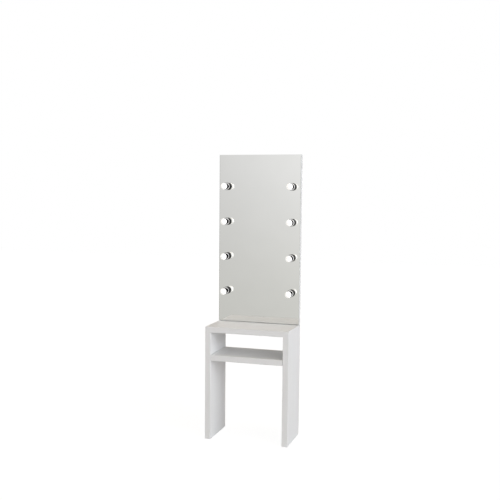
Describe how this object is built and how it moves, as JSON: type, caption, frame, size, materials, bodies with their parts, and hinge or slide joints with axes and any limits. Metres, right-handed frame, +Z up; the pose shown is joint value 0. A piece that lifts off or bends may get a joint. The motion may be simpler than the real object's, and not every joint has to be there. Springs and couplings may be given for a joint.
{
  "type": "vanity table with mirror",
  "caption": "Narrow white vanity table with a fixed shelf and a tall frameless mirror on its back edge, lit at both sides by golf-ball lamps on black and chrome cups.",
  "frame": {"origin": "on the floor, in the middle of the footprint", "axes": "+Z up, -Y towards the person who sits at it, +X to that person's right"},
  "size_m": [0.6, 0.32, 2],
  "materials": {
    "white_lacquer": "satin white lacquer on fibreboard",
    "raw_board": "raw fibreboard",
    "white_hardboard": "white-faced hardboard",
    "beech": "raw beech",
    "zinc_steel": "zinc-plated",
    "zinc_cast": "die-cast zinc",
    "white_plastic": "moulded nylon",
    "mirror": "silvered glass with a ground arris",
    "foam_tape": "closed-cell foam tape",
    "brass": "turned brass",
    "black_enamel": "gloss black enamel on a spun cup",
    "black_phenolic": "black phenolic moulding",
    "black_plastic": "fine-textured black moulding",
    "rocker_black": "glossy black moulding",
    "cable_white": "white cable sheath",
    "polished_chrome": "polished chrome plate",
    "nickel_cap": "nickel-plated screw cap",
    "opal_globe": "opal white envelope"
  },
  "bodies": {
    "table": {"backing_board": "white_lacquer", "bonding_tapes": "foam_tape", "cable_clips": "white_plastic", "cam_cover_caps": "white_plastic", "floor_glides": "white_plastic", "frame_rail_bottom": "white_lacquer", "frame_rail_middle": "raw_board", "frame_rail_top": "white_lacquer", "frame_stile_left": "white_lacquer", "frame_stile_right": "white_lacquer", "inlet_pins": "brass", "joining_plate_screws": "zinc_steel", "joining_plates": "zinc_steel", "lamp_cup_faces": "polished_chrome", "lamp_cups": "black_enamel", "lampholder_contacts": "brass", "lampholder_shells": "brass", "lampholders": "black_phenolic", "mirror_dowels": "beech", "mirror_glass": "mirror", "mitre_dowels": "beech", "nipple_nuts": "zinc_steel", "power_inlet": "black_plastic", "rear_cover": "white_hardboard", "rear_cover_screws": "zinc_steel", "shelf_cam_bolts": "zinc_steel", "shelf_cams": "zinc_cast", "shelf_dowels": "beech", "shelf_panel": "white_lacquer", "side_panel_left": "white_lacquer", "side_panel_right": "white_lacquer", "switch_frame": "black_plastic", "terminal_block": "white_plastic", "threaded_nipples": "zinc_steel", "top_panel": "white_lacquer", "wall_inserts": "brass", "wiring_loom": "cable_white"},
    "lamp_1": {"lamp_globe_1": "opal_globe", "lamp_cap_1": "nickel_cap"},
    "lamp_2": {"lamp_globe_2": "opal_globe", "lamp_cap_2": "nickel_cap"},
    "lamp_3": {"lamp_globe_3": "opal_globe", "lamp_cap_3": "nickel_cap"},
    "lamp_4": {"lamp_globe_4": "opal_globe", "lamp_cap_4": "nickel_cap"},
    "lamp_5": {"lamp_globe_5": "opal_globe", "lamp_cap_5": "nickel_cap"},
    "lamp_6": {"lamp_globe_6": "opal_globe", "lamp_cap_6": "nickel_cap"},
    "lamp_7": {"lamp_globe_7": "opal_globe", "lamp_cap_7": "nickel_cap"},
    "lamp_8": {"lamp_globe_8": "opal_globe", "lamp_cap_8": "nickel_cap"},
    "rocker": {"rocker_button": "rocker_black"}
  },
  "joints": [
    {"name": "lamp_1_unscrew", "type": "slide", "parent": "table", "child": "lamp_1", "axis": [0, -1, 0], "range_m": [0, 0.009]},
    {"name": "lamp_2_unscrew", "type": "slide", "parent": "table", "child": "lamp_2", "axis": [0, -1, 0], "range_m": [0, 0.009]},
    {"name": "lamp_3_unscrew", "type": "slide", "parent": "table", "child": "lamp_3", "axis": [0, -1, 0], "range_m": [0, 0.009]},
    {"name": "lamp_4_unscrew", "type": "slide", "parent": "table", "child": "lamp_4", "axis": [0, -1, 0], "range_m": [0, 0.009]},
    {"name": "lamp_5_unscrew", "type": "slide", "parent": "table", "child": "lamp_5", "axis": [0, -1, 0], "range_m": [0, 0.009]},
    {"name": "lamp_6_unscrew", "type": "slide", "parent": "table", "child": "lamp_6", "axis": [0, -1, 0], "range_m": [0, 0.009]},
    {"name": "lamp_7_unscrew", "type": "slide", "parent": "table", "child": "lamp_7", "axis": [0, -1, 0], "range_m": [0, 0.009]},
    {"name": "lamp_8_unscrew", "type": "slide", "parent": "table", "child": "lamp_8", "axis": [0, -1, 0], "range_m": [0, 0.009]},
    {"name": "rocker_switch", "type": "hinge", "parent": "table", "child": "rocker", "pos_m": [0.165, 0.1518, 0.9], "axis": [-1, 0, 0], "range_deg": [0, 18]}
  ]
}
